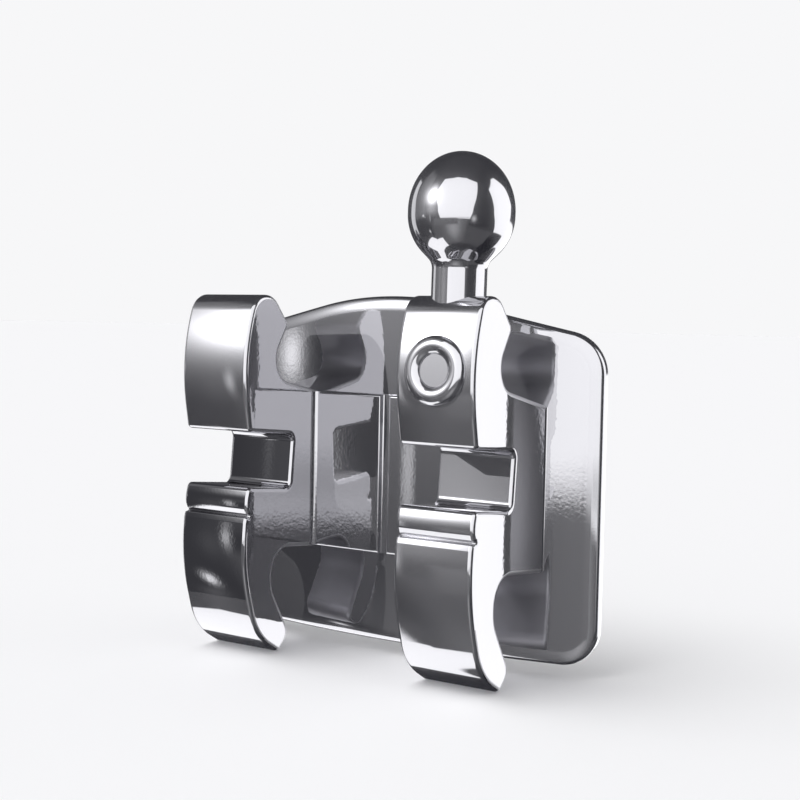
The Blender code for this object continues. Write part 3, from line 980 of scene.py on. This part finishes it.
# name, brightness, softness in degrees, corners as (round, up)
CARDS = [
    ("top grey", 0.10, 14.0, [(-180, 60), (180, 60), (180, 95), (-180, 95)]),
    ("left grey", 0.24, 8.0, [(-84, -2), (-52, -2), (-52, 50), (-84, 50)]),
    ("lower front", 0.17, 10.0, [(-37, -62), (46, -62), (46, -3), (-5, -3), (-37, -14)]),
    ("lower right", 0.15, 10.0, [(46, -62), (108, -62), (108, -28), (46, -24)]),
    ("lower back", 0.033, 6.0, [(108, -64), (158, -64), (158, -36), (108, -36)]),
    ("lower left back", 0.04, 6.0, [(-180, -64), (-122, -64), (-122, -20), (-180, -20)]),
    (
        "key panel", 1.92, 1.5,
        [(-13, -7), (49, -9.0), (63, 22), (73, 47), (45, 57), (18, 59), (-20, 52), (-27, 30)],
    ),
    ("key fall", 0.22, 5.0, [(-30, -20), (24, -20), (24, -7), (-30, -7)]),
    ("key dip", 1.28, 2.0, [(26, -7.9), (49, -8), (49, -5.4), (26, -5.4)]),
    ("left strip", 1.2, 2.5, [(-102, -18), (-86, -18), (-84, 10), (-90, 31), (-104, 29)]),
    (
        "right panel", 2.1, 2.5,
        [(114, -25), (148, -20), (160, 10), (150, 27), (130, 44), (118, 45), (97, 33), (104, 0)],
    ),
    ("back panel", 2.1, 3.0, [(146, -20), (152, -42), (195, -42), (195, 0), (150, 0)]),
    ("low left panel", 2.05, 1.5, [(-115, -64), (-46, -64), (-43, -42), (-52.5, -36), (-112, -37)]),
    ("low front strip", 2.05, 2.0, [(-60, -64), (-22, -64), (-22, -45), (-60, -43)]),
]
# oval glows: middle round, middle up, width, height, brightness
FRONT_GLOW = (14.0, -28.0, 17.0, 24.0, 0.42)
SPOTS = [
    (-56.0, 0.3, 2.6, 1.6, 1.5),
    (-47.6, -26.6, 1.6, 2.6, 1.4),
    (-51.2, -2.3, 1.0, 0.5, 1.4),
    (-33.0, 1.5, 7.0, 4.0, 0.05),
    (-42.0, -9.0, 3.0, 7.0, 0.05),
    (-50.5, -33.0, 3.5, 2.5, 0.09),
    (-38.0, -5.5, 1.1, 5.0, 0.70),
    (-34.0, 27.0, 9.0, 9.0, 2.5),
    (58.0, -8.0, 5.0, 6.0, 0.9),
]


def soft_spot(around, up, spot):
    """How bright one oval glow is in each direction."""
    middle, level, width, height, brightness = spot
    across = ((around - middle + 180.0) % 360.0 - 180.0) / width
    return brightness * np.exp(-(across**2) - ((up - level) / height) ** 2)


def tent_light(around, up):
    """Brightness of the tent in each direction: each card hides what is behind it."""
    light = np.full(around.shape, DARK)
    for name, brightness, softness, corners in CARDS:
        cover = card(around, up, corners, softness)
        light = light * (1 - cover) + brightness * cover
        if name == "lower front":
            light = light + soft_spot(around, up, FRONT_GLOW) * cover
    for spot in SPOTS:
        light = light + soft_spot(around, up, spot)
    return light


# %% Paint the tent
TENT_RADIUS = 60.0
TENT_STEP = 0.5


def light_tent():
    """A sphere round the studio with the cards painted on its points."""
    around = np.arange(-180.0, 180.0, TENT_STEP)
    up = np.arange(-90.0 + TENT_STEP / 2, 90.0, TENT_STEP)
    grid_around, grid_up = np.meshgrid(around, up)
    a = np.radians(grid_around)
    e = np.radians(grid_up)
    points = np.stack([np.sin(a) * np.cos(e), -np.cos(a) * np.cos(e), np.sin(e)], axis=-1).reshape(-1, 3)
    columns = len(around)
    rows = len(up)
    faces = []
    for row in range(rows - 1):
        for column in range(columns):
            right = (column + 1) % columns
            low = row * columns
            high = low + columns
            faces.append((low + column, high + column, high + right, low + right))
    faces.append(tuple(range(columns)))
    faces.append(tuple(range((rows - 1) * columns, rows * columns)))
    mesh = bpy.data.meshes.new("light_tent")
    mesh.from_pydata((points * TENT_RADIUS * MM).tolist(), [], faces)
    brightness = tent_light(grid_around, grid_up).reshape(-1)
    colours = np.stack([brightness, brightness, brightness + COOL, np.ones_like(brightness)], axis=-1)
    layer = mesh.color_attributes.new("light", "FLOAT_COLOR", "POINT")
    layer.data.foreach_set("color", colours.reshape(-1))
    tent = bpy.data.objects.new("light_tent", mesh)
    bpy.context.scene.collection.objects.link(tent)
    return tent


def tent_material():
    material = bpy.data.materials.new("tent_cloth")
    material.use_nodes = True
    tree = material.node_tree
    tree.nodes.clear()
    paint = tree.nodes.new("ShaderNodeVertexColor")
    paint.layer_name = "light"
    emission = tree.nodes.new("ShaderNodeEmission")
    out = tree.nodes.new("ShaderNodeOutputMaterial")
    tree.links.new(paint.outputs["Color"], emission.inputs["Color"])
    tree.links.new(emission.outputs["Emission"], out.inputs["Surface"])
    material.cycles.emission_sampling = "NONE"
    return material


tent = light_tent()
tent.data.materials.append(tent_material())
tent.visible_camera = False
tent.visible_diffuse = False
tent.visible_transmission = False
tent.visible_shadow = False
print("tent has", len(CARDS), "cards and", len(tent.data.polygons), "faces")

# %% [markdown]
# ## Floor, sky and sun
# The floor is a pale sheet under the lower wings. An even pale sky and a broad soft sun light it to
# the same tone as the sky, so no horizon shows, and the part still throws its shadow. A small hard
# lamp up to the left gives the wings their burnt-out band.

# %% Floor
PALE = (0.93, 0.93, 0.94, 1.0)
FLOOR_HALF = 1000.0


def pale_floor():
    mesh = bpy.data.meshes.new("floor")
    level = cad_box[0][2]
    half = FLOOR_HALF * MM
    corners = [(x * half, y * half, level) for x, y in ((-1, -1), (1, -1), (1, 1), (-1, 1))]
    mesh.from_pydata(corners, [], [(0, 1, 2, 3)])
    floor = bpy.data.objects.new("floor", mesh)
    material = bpy.data.materials.new("pale_sheet")
    material.use_nodes = True
    shader = material.node_tree.nodes["Principled BSDF"]
    shader.inputs["Base Color"].default_value = PALE
    shader.inputs["Roughness"].default_value = 1.0
    shader.inputs["Specular IOR Level"].default_value = 0.0
    mesh.materials.append(material)
    bpy.context.scene.collection.objects.link(floor)
    floor.visible_glossy = False
    return floor


floor = pale_floor()
print("floor lies at", round(cad_box[0][2] / MM, 3), "mm")

# %% Sky and sun
SKY_SHARE = 0.65
SUN_HEIGHT = radians(60)
SUN_ROUND = radians(-40)
SUN_SPREAD = radians(50)


def sky():
    """An even sky, dimmer for the light that it casts than for the eye."""
    world = bpy.data.worlds.new("sky")
    bpy.context.scene.world = world
    world.use_nodes = True
    tree = world.node_tree
    background = tree.nodes["Background"]
    background.inputs["Color"].default_value = PALE
    path = tree.nodes.new("ShaderNodeLightPath")
    seen = math_node(tree, "MAXIMUM", path.outputs["Is Camera Ray"], path.outputs["Is Glossy Ray"])
    seen = math_node(tree, "MAXIMUM", seen, path.outputs["Is Transmission Ray"])
    extra = math_node(tree, "MULTIPLY", seen, 1 - SKY_SHARE)
    strength = math_node(tree, "ADD", extra, SKY_SHARE)
    tree.links.new(strength, background.inputs["Strength"])


def sun():
    """A broad sun that makes up what the sky leaves."""
    data = bpy.data.lights.new("sun", "SUN")
    data.angle = SUN_SPREAD
    data.energy = pi * (1 - SKY_SHARE * PALE[0]) / sin(SUN_HEIGHT)
    obj = bpy.data.objects.new("sun", data)
    obj.rotation_euler = (pi / 2 - SUN_HEIGHT, 0, SUN_ROUND)
    obj.visible_glossy = False
    bpy.context.scene.collection.objects.link(obj)


# %% Key lamp
LAMP_ROUND = radians(-38)
LAMP_HEIGHT = radians(20)
LAMP_SPREAD = 0.0
LAMP_ENERGY = 5.2


def key_lamp():
    """A small hard lamp up to the left, which gives the wings their burnt-out band."""
    data = bpy.data.lights.new("key_lamp", "SUN")
    data.angle = LAMP_SPREAD
    data.energy = LAMP_ENERGY
    obj = bpy.data.objects.new("key_lamp", data)
    obj.rotation_euler = (pi / 2 - LAMP_HEIGHT, 0, LAMP_ROUND)
    obj.visible_diffuse = False
    bpy.context.scene.collection.objects.link(obj)


sky()
sun()
key_lamp()
bpy.context.scene.view_settings.view_transform = "Standard"
